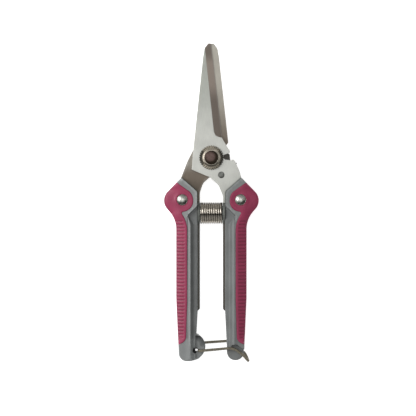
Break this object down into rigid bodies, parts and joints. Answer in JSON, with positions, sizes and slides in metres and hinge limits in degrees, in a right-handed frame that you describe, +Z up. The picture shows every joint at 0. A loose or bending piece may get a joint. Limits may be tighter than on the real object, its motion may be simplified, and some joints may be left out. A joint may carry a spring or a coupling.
{
  "type": "floral snips",
  "caption": "Slim snips with crossed satin blades, a bolt pivot, a coil return spring, grey handles with soft ribbed grips and a wire catch at the handle ends.",
  "frame": {"origin": "centre of the footprint at the resting surface, midway between the blade tips and the catch", "axes": "+X towards the right handle, +Y towards the blade tips, +Z up out of the front of the blades"},
  "size_m": [0.0566, 0.1914, 0.015],
  "materials": {
    "front_blade_steel": "fine satin finish, light warm grey, ground bevel darker",
    "back_blade_steel": "satin, brownish where it lies in shade",
    "bolt_steel": "dark oxide, low polish",
    "nut_metal": "turned and polished",
    "washer_steel": "plain steel with cut teeth",
    "spacer_brass": "plain",
    "pin_steel": "plain, dull",
    "spring_steel": "drawn wire, warm grey",
    "seat_plastic": "moulded, dark",
    "handle_plastic": "moulded, fine grain",
    "grip_rubber": "soft touch, matt",
    "rivet_chrome": "polished",
    "rivet_steel": "plain",
    "catch_steel": "drawn wire, brownish"
  },
  "bodies": {
    "left_half": {"back_blade": "back_blade_steel", "left_handle": "handle_plastic", "left_grip": "grip_rubber", "left_rivet": "rivet_chrome", "left_rivet_post": "rivet_steel", "left_rivet_washer": "rivet_chrome", "left_spring_seat": "seat_plastic", "pivot_bolt": "bolt_steel", "pivot_nut": "nut_metal", "toothed_washer": "washer_steel", "spacer_washer": "spacer_brass", "return_spring": "spring_steel"},
    "right_half": {"front_blade": "front_blade_steel", "stop_pin": "pin_steel", "right_handle": "handle_plastic", "right_grip": "grip_rubber", "right_rivet": "rivet_chrome", "right_rivet_post": "rivet_steel", "right_rivet_washer": "rivet_chrome", "right_spring_seat": "seat_plastic"},
    "catch": {"catch_wire": "catch_steel"}
  },
  "joints": [
    {"name": "blade_pivot", "type": "hinge", "parent": "left_half", "child": "right_half", "pos_m": [0, 0.02695, 0.0075], "axis": [0, 0, 1], "range_deg": [0, 26], "stiffness_Nm_per_rad": 0.5, "springref_deg": 57.3, "deforming": ["return_spring"]},
    {"name": "catch_swing", "type": "hinge", "parent": "left_half", "child": "catch", "pos_m": [-0.0074, -0.08865, 0.0075], "axis": [0, 0, 1], "range_deg": [-110, 3.5]}
  ]
}
